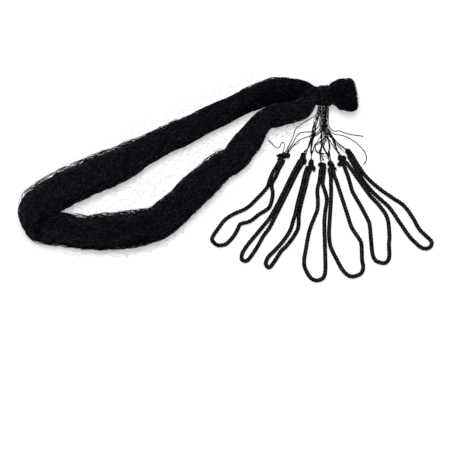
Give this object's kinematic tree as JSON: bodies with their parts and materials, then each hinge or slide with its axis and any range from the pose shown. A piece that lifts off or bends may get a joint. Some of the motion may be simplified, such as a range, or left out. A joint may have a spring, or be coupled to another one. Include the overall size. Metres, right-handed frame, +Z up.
{
  "type": "bird netting",
  "caption": "Fine bird netting gathered into a soft folded hank, tied at the neck, with knotted braided pole loops on thin shelf strings fanned out beside it.",
  "frame": {"origin": "centre of the hank's own box, pole loops left out, at the surface it lies on", "axes": "+X along the hank's length towards the tied neck and tuft, +Y away from the pole loops, +Z up"},
  "size_m": [0.4527, 0.2407, 0.0292],
  "materials": {
    "net": "matte, fine knotted nylon thread",
    "cord": "matte, braided polyester cord",
    "thread": "matte, twisted nylon thread"
  },
  "bodies": {
    "root": {"net_hank": "net", "neck_wrap": "thread", "pole_loop_1": "cord", "pole_loop_2": "cord", "pole_loop_3": "cord", "pole_loop_4": "cord", "pole_loop_5": "cord", "pole_loop_6": "cord", "pole_loop_7": "cord", "loop_knot_1": "cord", "loop_knot_2": "cord", "loop_knot_3": "cord", "loop_knot_4": "cord", "loop_knot_5": "cord", "loop_knot_6": "cord", "loop_knot_7": "cord", "shelf_string_1a": "thread", "shelf_string_1b": "thread", "shelf_string_1c": "thread", "shelf_string_2": "thread", "shelf_string_3": "thread", "shelf_string_4": "thread", "shelf_string_5a": "thread", "shelf_string_5b": "thread", "shelf_string_6": "thread", "shelf_string_7": "thread", "loose_thread_1": "thread", "loose_thread_2": "thread", "loose_thread_3": "thread", "loose_thread_4": "thread"}
  },
  "joints": []
}
